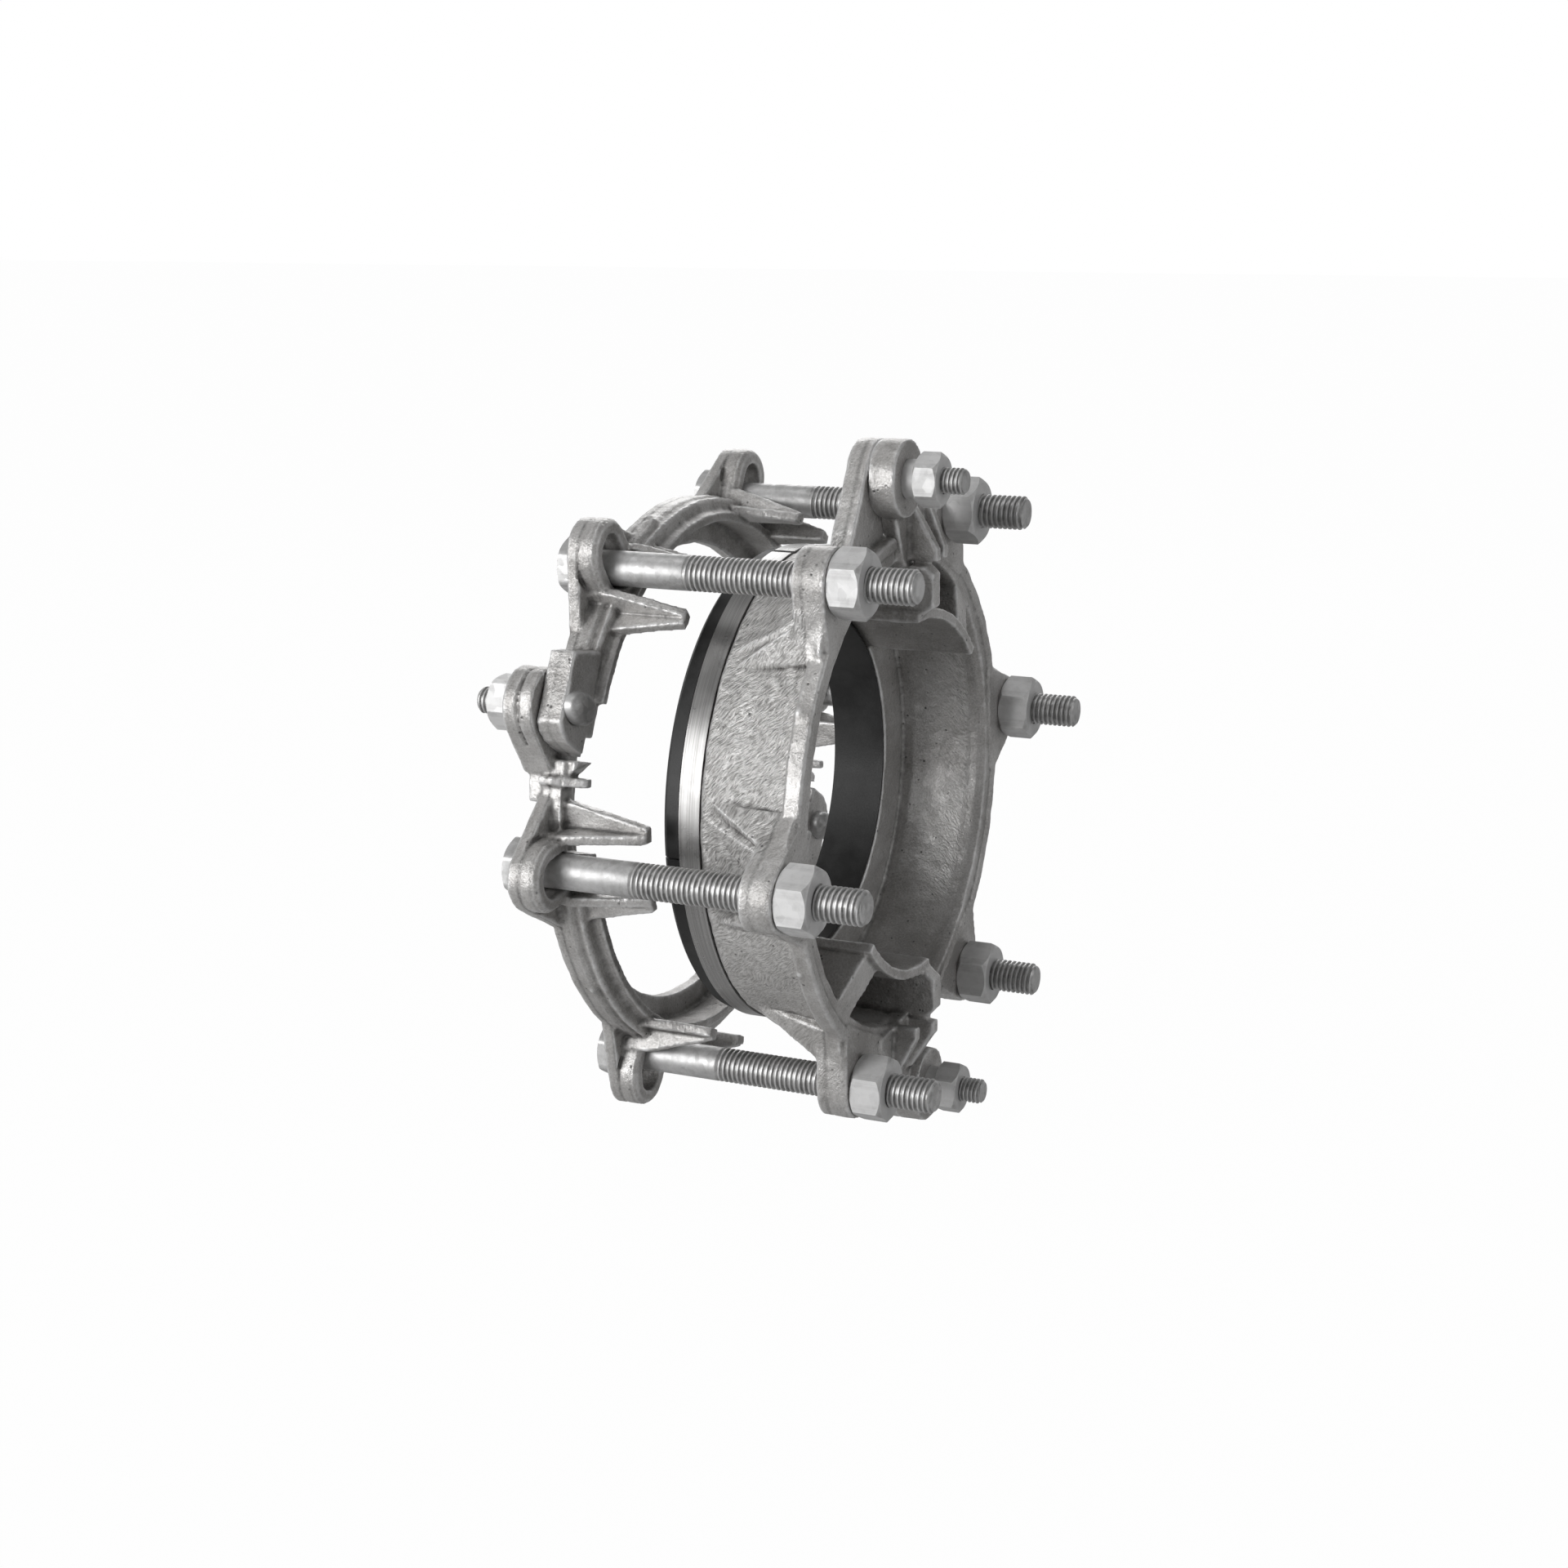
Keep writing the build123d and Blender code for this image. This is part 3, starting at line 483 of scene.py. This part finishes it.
def threaded_rod(angle, r, start_x, thread_x, end_x, rod_r, pitch, way=1, columns=40):
    """Points and faces of a rod: plain from start_x, threaded from thread_x to end_x."""
    rows_per_pitch = len(THREAD_FORM)
    root = rod_r - THREAD_DEPTH_SHARE * pitch
    chamfer = THREAD_CHAMFER * pitch
    end_r = root - END_CONE * chamfer
    length = abs(end_x - thread_x)
    turns = int(length / pitch) + 2
    centre = out_at(angle) * r
    across, up = side_at(angle), out_at(angle)
    points = []
    for j in range(-rows_per_pitch, turns * rows_per_pitch):
        whole, part = divmod(j, rows_per_pitch)
        phase, on_crest = THREAD_FORM[part]
        for i in range(columns):
            turn = i / columns
            along = (whole + phase + turn) * pitch
            runout = min(1.0, max(0.0, along / (THREAD_RUNOUT * pitch)))
            rad = rod_r if on_crest else rod_r - (rod_r - root) * runout
            if along <= 0:
                along, rad = 0.0, rod_r
            if along >= length:
                along, rad = length, end_r
            else:
                rad = min(rad, end_r + (length - along))
            x = thread_x + way * along
            theta = 2 * pi * turn * way
            place = centre + across * (rad * cos(theta)) + up * (rad * sin(theta))
            points.append((x, place.y, place.z))
    rows = (turns + 1) * rows_per_pitch
    faces = []
    for j in range(rows - 1):
        low, high = j * columns, (j + 1) * columns
        for i in range(columns):
            if i < columns - 1:
                faces.append((low + i, low + i + 1, high + i + 1, high + i))
            elif j + 1 + rows_per_pitch < rows:
                lift = rows_per_pitch * columns
                faces.append((low + i, low + lift, high + lift, high + i))
    # Plain shank back to the head, and the flat end
    base = len(points)
    for i in range(columns):
        theta = 2 * pi * i / columns * way
        place = centre + across * (rod_r * cos(theta)) + up * (rod_r * sin(theta))
        points.append((start_x, place.y, place.z))
        points.append((thread_x, place.y, place.z))
    for i in range(columns):
        n = (i + 1) % columns
        faces.append((base + 2 * i, base + 2 * n, base + 2 * n + 1, base + 2 * i + 1))
    base = len(points)
    for i in range(columns):
        theta = 2 * pi * i / columns * way
        place = centre + across * (end_r * cos(theta)) + up * (end_r * sin(theta))
        points.append((end_x, place.y, place.z))
    faces.append(tuple(range(base, base + columns)))
    faces.append(tuple(base - 2 * columns + 2 * i for i in range(columns)))
    return points, faces


HEX_FACE_INSET = 0.3 * MM
HEX_CORNER_ROUND = 0.35 * MM
HEX_CHAMFER_SLOPE = 0.55


def hex_block(angle, r, seat_x, flats, height, way, turn=0.0, columns=96):
    """Points and faces of a hex head that stands from seat_x towards way."""
    centre = out_at(angle) * r
    across, up = side_at(angle), out_at(angle)
    inner = flats / 2 - HEX_FACE_INSET
    points, faces = [], []
    rings = []
    for level in ("seat", "low", "high", "top"):
        ring = []
        for i in range(columns):
            theta = 2 * pi * i / columns
            sector = (theta - radians(turn)) % (pi / 3) - pi / 6
            hex_r = flats / 2 / cos(sector)
            corner = flats / sqrt(3)
            hex_r = min(hex_r, corner - HEX_CORNER_ROUND)
            drop = max(0.0, hex_r - inner) * HEX_CHAMFER_SLOPE
            if level == "seat":
                rad, along = hex_r, 0.0
            elif level == "low":
                rad, along = hex_r, 0.02 * MM
            elif level == "high":
                rad, along = hex_r, height - drop
            else:
                rad, along = inner, height
            place = centre + across * (rad * cos(theta)) + up * (rad * sin(theta))
            ring.append(len(points))
            points.append((seat_x + way * along, place.y, place.z))
        rings.append(ring)
    for low, high in zip(rings, rings[1:]):
        for i in range(columns):
            n = (i + 1) % columns
            faces.append((low[i], low[n], high[n], high[i]))
    faces.append(tuple(rings[0]))
    faces.append(tuple(reversed(rings[-1])))
    return points, faces


def domed_head(angle, r, seat_x, long_size, short_size, height, way, rows=9, columns=48):
    """Points and faces of a low domed head that stands from seat_x; its long side points outwards."""
    centre = out_at(angle) * r
    across, up = side_at(angle), out_at(angle)
    points, faces = [], []
    for row in range(rows):
        lean = pi / 2 * max(0, row - 1) / (rows - 2)
        share = cos(lean) ** 0.7
        level = height * (0.45 * min(row, 1) + 0.55 * sin(lean))
        for i in range(columns):
            theta = 2 * pi * i / columns
            side = short_size / 2 * cos(theta) * max(share, 0.02)
            lift = long_size / 2 * sin(theta) * max(share, 0.02)
            place = centre + across * side + up * lift
            points.append((seat_x + way * level, place.y, place.z))
    for row in range(rows - 1):
        low, high = row * columns, (row + 1) * columns
        for i in range(columns):
            n = (i + 1) % columns
            faces.append((low + i, low + n, high + n, high + i))
    faces.append(tuple(range(columns)))
    faces.append(tuple(range((rows - 1) * columns, rows * columns)))
    return points, faces


def join_parts(*parts):
    """One list of points and faces from several."""
    points, faces = [], []
    for more_points, more_faces in parts:
        shift = len(points)
        points += more_points
        faces += [tuple(v + shift for v in face) for face in more_faces]
    return points, faces


# Castings: the solids with rounded cast edges and an uneven sand-cast skin

RELIEF_FULL = 0.085 * MM
SEAM_WIDTH = 0.5 * MM
SEAM_DEPTH = 0.45 * MM
FLASH_SEARCH = 2.0 * MM
RAMP_X = (52.5 * MM, 89.4 * MM)
CAST_GRID = 0.7 * MM
SKIN_LUMP_SIZE = 0.009
SKIN_UNEVENNESS = 0.8 * MM


def mesh_arrays(mesh):
    """Vertex places, vertex normals and edge ends of a mesh as arrays."""
    count = len(mesh.vertices)
    places, normals = np.empty(count * 3), np.empty(count * 3)
    mesh.vertices.foreach_get("co", places)
    mesh.vertices.foreach_get("normal", normals)
    ends = np.empty(len(mesh.edges) * 2, dtype=np.int64)
    mesh.edges.foreach_get("vertices", ends)
    return places.reshape(-1, 3), normals.reshape(-1, 3), ends.reshape(-1, 2)


def neighbour_mean(values, ends, count):
    """Mean of each vertex's neighbours."""
    total = np.zeros_like(values)
    shares = np.zeros(count)
    for one, other in ((0, 1), (1, 0)):
        np.add.at(total, ends[:, one], values[ends[:, other]])
        np.add.at(shares, ends[:, one], 1.0)
    shares = np.maximum(shares, 1.0)
    return total / (shares[:, None] if values.ndim > 1 else shares)


def store_relief(mesh):
    """Stores how far each vertex stands out of or lies in its surroundings, from 1 to -1."""
    places, normals, ends = mesh_arrays(mesh)
    count = len(places)
    stand = -np.einsum("ij,ij->i", neighbour_mean(places, ends, count) - places, normals)
    for _ in range(3):
        stand = 0.5 * stand + 0.5 * neighbour_mean(stand, ends, count)
    stored = mesh.attributes.new("relief", "FLOAT", "POINT")
    stored.data.foreach_set("value", np.clip(stand / RELIEF_FULL, -1.0, 1.0).astype(np.float32))


def cut_seams(mesh, seams):
    """Sinks parting lines into the outer walls: each seam is an X, a lowest radius and a depth share."""
    places, normals, _ = mesh_arrays(mesh)
    r = np.hypot(places[:, 1], places[:, 2])
    out = np.stack([np.zeros_like(r), places[:, 1] / r, places[:, 2] / r], axis=1)
    outward = np.clip((1.0 - np.abs(normals[:, 0]) - 0.35) / 0.3, 0.0, 1.0)
    outward *= np.clip(np.einsum("ij,ij->i", normals, out) * 3 + 1.0, 0.0, 1.0)
    sunk = np.zeros_like(r)
    for seam_x, low_r, share in seams:
        line = np.exp(-(((places[:, 0] - seam_x) / SEAM_WIDTH) ** 2))
        sunk = np.maximum(sunk, share * line * outward * (r > low_r))
    moved = places - normals * (sunk * SEAM_DEPTH)[:, None]
    mesh.vertices.foreach_set("co", moved.ravel())
    stored = mesh.attributes.new("seam", "FLOAT", "POINT")
    stored.data.foreach_set("value", np.clip(sunk, 0.0, 1.0).astype(np.float32))
    mesh.update()


def raise_flash(mesh, spots):
    """Raises small lumps of flash on the outer edge: each spot is an X, an angle, a size and a height."""
    places, _, _ = mesh_arrays(mesh)
    for x, angle, size, height in spots:
        out, side = np.array(out_at(angle)), np.array(side_at(angle))
        reach = places @ out
        near = (np.abs(places[:, 0] - x * MM) < FLASH_SEARCH) & (np.abs(places @ side) < FLASH_SEARCH)
        near &= reach > 0
        peak = places[near][np.argmax(reach[near])]
        gap = np.linalg.norm(places - peak, axis=1)
        places += np.outer(height * MM * np.exp(-((gap / (size * MM)) ** 2)), out)
    mesh.vertices.foreach_set("co", places.ravel())
    mesh.update()


def ear_ramp_blocks(angle):
    """Corner points of the wide ramp behind a gland ear: its low middle and its two flanks."""
    low, high = RAMP_X

    def corner(x, across, out):
        place = out_at(angle) * (out * MM) + side_at(angle) * (across * MM)
        return (x, place.y, place.z)

    middle = [corner(low, 0, 90.3), corner(high, 0, 89.0)]
    flanks = []
    for side in (-1, 1):
        middle += [corner(low, side * 23, 86.8), corner(low, side * 20, 84.6),
                   corner(high, side * 12, 102.0), corner(high, side * 24, 94.6),
                   corner(high, side * 21, 90.5)]
        flanks.append([corner(low, side * 22.8, 87.0), corner(low, side * 19, 85.0),
                       corner(high, side * 24, 94.9), corner(high, side * 12.2, 110.5),
                       corner(high, side * 8.8, 102.3), corner(high, side * 16, 91.0)])
    return [middle] + flanks


def add_blocks(mesh, blocks):
    """Joins the hulls of some sets of corner points to a mesh, before it is remeshed into one skin."""
    shape = bmesh.new()
    shape.from_mesh(mesh)
    for corners in blocks:
        made = [shape.verts.new(corner) for corner in corners]
        hull = bmesh.ops.convex_hull(shape, input=made, use_existing_faces=False)
        unused = [v for v in hull["geom_interior"] if isinstance(v, bmesh.types.BMVert)]
        if unused:
            bmesh.ops.delete(shape, geom=unused, context="VERTS")
    shape.to_mesh(mesh)
    shape.free()


def cast_piece(node, body, seams, flash, blocks=()):
    """Casting from a ring half's solid: rounded edges, uneven skin, parting lines and flash lumps."""
    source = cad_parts[node]
    made = bpy.data.objects.new(node + "_casting", source.data.copy())
    bpy.context.scene.collection.objects.link(made)
    add_blocks(made.data, blocks)
    made.data.materials.clear()
    made.data.materials.append(CASTING)
    remesh = made.modifiers.new("cast_remesh", "REMESH")
    remesh.mode = "VOXEL"
    remesh.voxel_size = CAST_GRID
    relax = made.modifiers.new("rounded_edges", "SMOOTH")
    relax.factor = 0.5
    relax.iterations = 3
    lumps = bpy.data.textures.new(node + "_lumps", "CLOUDS")
    lumps.noise_scale = SKIN_LUMP_SIZE
    lumps.noise_depth = 2
    uneven = made.modifiers.new("uneven_skin", "DISPLACE")
    uneven.texture = lumps
    uneven.texture_coords = "LOCAL"
    uneven.strength = SKIN_UNEVENNESS
    uneven.mid_level = 0.5
    settle(made)
    cut_seams(made.data, seams)
    raise_flash(made.data, flash)
    store_relief(made.data)
    for face in made.data.polygons:
        face.use_smooth = True
    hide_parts(node)
    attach(made, body)
    return made


BELL_SEAMS = ((-1.5 * MM, 102.0 * MM, 0.55), (3.4 * MM, 102.0 * MM, 0.35))
GLAND_SEAMS = ((82.6 * MM, 96.5 * MM, 0.5),)

# Lumps of flash on each half: X in mm, angle, size in mm and height in mm
FLASH = {
    "bell_ring_upper": ((1.2, 19.0, 2.4, 1.4), (-1.5, 15.5, 1.6, 0.8), (-1.0, -52.0, 1.8, 0.8)),
    "bell_ring_lower": ((0.5, 128.0, 1.8, 0.8), (-1.0, 190.0, 2.2, 1.0)),
    "gland_ring_front": ((88.2, 50.5, 1.3, 1.0), (84.2, 62.0, 2.4, 1.0), (85.0, 118.0, 1.6, 0.7)),
    "gland_ring_rear": ((86.0, 232.0, 1.8, 0.8), (85.0, 300.0, 1.6, 0.8)),
}

for node in ("bell_ring_upper", "bell_ring_lower"):
    cast_piece(node, BELL_BODY, BELL_SEAMS, FLASH[node])
for node, first_ear in (("gland_ring_front", FIRST_EAR), ("gland_ring_rear", FIRST_EAR + 180)):
    ramps = [block for index in range(3) for block in ear_ramp_blocks(first_ear + EAR_PITCH * index)]
    cast_piece(node, GLAND_BODY, GLAND_SEAMS, FLASH[node], ramps)


# Tie bolts with rolled threads

def tie_bolt(letter, angle):
    """Hex bolt that replaces a tie bolt's plain solid."""
    end_x = TIE_LENGTH - HALF_RING
    rod = threaded_rod(angle, BOLT_CIRCLE, -HALF_RING, TIE_THREAD_START, end_x, TIE_R, TIE_PITCH)
    head = hex_block(angle, BOLT_CIRCLE, -HALF_RING, TIE_HEAD_FLATS, TIE_HEAD_HEIGHT, -1, angle + 30)
    points, faces = join_parts(rod, head)
    made = make_object(f"tie_bolt_{letter}_threaded", points, faces, BOLT_ZINC)
    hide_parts(f"tie_bolt_{letter}")
    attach(made, BELL_BODY)


for index, letter in enumerate("abcdef"):
    tie_bolt(letter, FIRST_EAR + EAR_PITCH * index)


# Joint bolts: hammer heads in the bell ring, round heads in the gland ring

def joint_bolt(node, angle, head, body):
    """Short bolt that replaces a joint bolt's plain solid; its thread is at the end away from its head."""
    low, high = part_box(node)
    centre = (Vector(low) + Vector(high)) / 2
    r = sqrt(centre.y ** 2 + centre.z ** 2)
    if body == BELL_BODY:
        seat_x, end_x, way = high[0] - head[2], low[0], -1
    else:
        seat_x, end_x, way = low[0] + head[2], high[0], 1
    rod = threaded_rod(angle, r, seat_x, end_x - way * JOINT_THREAD, end_x, JOINT_R, JOINT_PITCH, way)
    cap = domed_head(angle, r, seat_x, *head, -way)
    points, faces = join_parts(rod, cap)
    made = make_object(node + "_threaded", points, faces, BOLT_ZINC)
    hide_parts(node)
    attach(made, body)


joint_bolt("bell_joint_bolt_front", BELL_SPLIT, HAMMER_HEAD, BELL_BODY)
joint_bolt("bell_joint_bolt_rear", BELL_SPLIT + 180, HAMMER_HEAD, BELL_BODY)
joint_bolt("gland_joint_bolt_top", GLAND_SPLIT, ROUND_HEAD, GLAND_BODY)
joint_bolt("gland_joint_bolt_bottom", GLAND_SPLIT + 180, ROUND_HEAD, GLAND_BODY)


# Finish of the solids that keep their shape

def finish_node(node, material, bevel):
    """Gives a solid its material and slightly broken edges."""
    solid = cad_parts[node]
    solid.data.materials.clear()
    solid.data.materials.append(material)
    edge = solid.modifiers.new("broken_edges", "BEVEL")
    edge.width = bevel
    edge.segments = 2
    edge.limit_method = "ANGLE"
    edge.angle_limit = radians(35)


for node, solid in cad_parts.items():
    if "nut" in node or "washer" in node:
        finish_node(node, NUT_ZINC, 0.35 * MM)
    elif "gasket_band" in node:
        finish_node(node, BAND, 0.3 * MM)
    elif node == "gasket":
        finish_node(node, RUBBER, 0.8 * MM)


# Camera at the photograph's viewing angle

CAMERA_PLACE = Vector((0.43158, -0.85424, 0.21452))
CAMERA_AZIMUTH = 24.603
CAMERA_ELEVATION = 12.948
FOCAL_PIXELS = 3093.7
FRAME_PIXELS = 1920


def add_camera():
    """Camera that looks along its azimuth and elevation, with no roll."""
    azimuth, elevation = radians(CAMERA_AZIMUTH), radians(CAMERA_ELEVATION)
    ahead = Vector((-sin(azimuth) * cos(elevation), cos(azimuth) * cos(elevation), -sin(elevation)))
    right = ahead.cross(Vector((0, 0, 1))).normalized()
    up = right.cross(ahead)
    lens = bpy.data.cameras.new("camera")
    lens.sensor_fit = "HORIZONTAL"
    lens.sensor_width = 36.0
    lens.lens = FOCAL_PIXELS / FRAME_PIXELS * 36.0
    lens.clip_start = 0.01
    camera = bpy.data.objects.new("camera", lens)
    bpy.context.scene.collection.objects.link(camera)
    turn = Matrix((right, up, -ahead)).transposed().to_4x4()
    camera.matrix_world = Matrix.Translation(CAMERA_PLACE) @ turn
    bpy.context.scene.camera = camera


# Floor, world and lamps

FLOOR_GAP = 0.004
FLOOR_HALF = 12.0
BACKDROP_WAY = (-0.405, 0.886, -0.1)
SURROUND_GREY = 0.09


def see_white(tree, direct, mirrored):
    """Share of plain white for the camera's own view, and for views in metal or through glass."""
    path = tree.nodes.new("ShaderNodeLightPath")
    bounced = maths(tree, "MAXIMUM", path.outputs["Is Glossy Ray"], path.outputs["Is Transmission Ray"])
    return maths(tree, "MAXIMUM", maths(tree, "MULTIPLY", path.outputs["Is Camera Ray"], direct),
                 maths(tree, "MULTIPLY", bounced, mirrored))


def add_floor():
    """Large pale floor under the clamp, with only a faint shadow of the clamp on it."""
    level = cad_box[0][2] - FLOOR_GAP
    mesh = bpy.data.meshes.new("floor")
    corners = [(x * FLOOR_HALF, y * FLOOR_HALF, level) for x, y in ((-1, -1), (1, -1), (1, 1), (-1, 1))]
    mesh.from_pydata(corners, [], [(0, 1, 2, 3)])
    floor = bpy.data.objects.new("floor", mesh)
    bpy.context.scene.collection.objects.link(floor)
    material = bpy.data.materials.new("pale_floor")
    material.use_nodes = True
    tree = material.node_tree
    shader = tree.nodes["Principled BSDF"]
    shader.inputs["Base Color"].default_value = (0.5, 0.5, 0.5, 1)
    shader.inputs["Roughness"].default_value = 0.9
    shader.inputs["Specular IOR Level"].default_value = 0.1
    white = tree.nodes.new("ShaderNodeEmission")
    white.inputs["Color"].default_value = (1, 1, 1, 1)
    white.inputs["Strength"].default_value = 1.0
    mixed = tree.nodes.new("ShaderNodeMixShader")
    tree.links.new(see_white(tree, 0.985, 0.30), mixed.inputs["Fac"])
    tree.links.new(shader.outputs["BSDF"], mixed.inputs[1])
    tree.links.new(white.outputs["Emission"], mixed.inputs[2])
    tree.links.new(mixed.outputs["Shader"], tree.nodes["Material Output"].inputs["Surface"])
    mesh.materials.append(material)


def add_world():
    """Soft surroundings: dim light from all round, with the white backdrop seen behind the clamp."""
    world = bpy.data.worlds.new("studio")
    world.use_nodes = True
    bpy.context.scene.world = world
    tree = world.node_tree
    background = tree.nodes["Background"]
    place = tree.nodes.new("ShaderNodeTexCoord")
    facing = tree.nodes.new("ShaderNodeVectorMath")
    facing.operation = "DOT_PRODUCT"
    tree.links.new(place.outputs["Generated"], facing.inputs[0])
    facing.inputs[1].default_value = BACKDROP_WAY
    behind = ramp(tree, facing.outputs["Value"], 0.45, 0.85, 0.12, 1.0)
    shown = see_white(tree, 1.0, behind)
    tree.links.new(blend_colours(tree, shown, grey(SURROUND_GREY), grey(1.0)), background.inputs["Color"])
    background.inputs["Strength"].default_value = 1.0


def add_lamp(name, place, width, height, power):
    """Soft lamp that points at the middle of the clamp."""
    lamp = bpy.data.lights.new(name, "AREA")
    lamp.shape = "RECTANGLE"
    lamp.size = width
    lamp.size_y = height
    lamp.energy = power
    made = bpy.data.objects.new(name, lamp)
    bpy.context.scene.collection.objects.link(made)
    made.location = place
    made.rotation_euler = (Vector(LAMP_TARGET) - Vector(place)).to_track_quat("-Z", "Y").to_euler()


add_camera()
add_floor()
add_world()
LAMP_TARGET = (0.05, 0, 0)
add_lamp("front_softbox", (-0.62, -1.25, 0.30), 0.9, 0.85, 14.0)
add_lamp("top_softbox", (-0.2, -0.3, 1.5), 0.7, 0.7, 3.0)
add_lamp("right_softbox", (1.35, 0.1, 0.5), 0.7, 0.7, 2.2)
add_lamp("back_softbox", (-0.5, 1.4, 0.9), 0.9, 0.7, 6.0)

bpy.context.scene.view_settings.view_transform = "Standard"
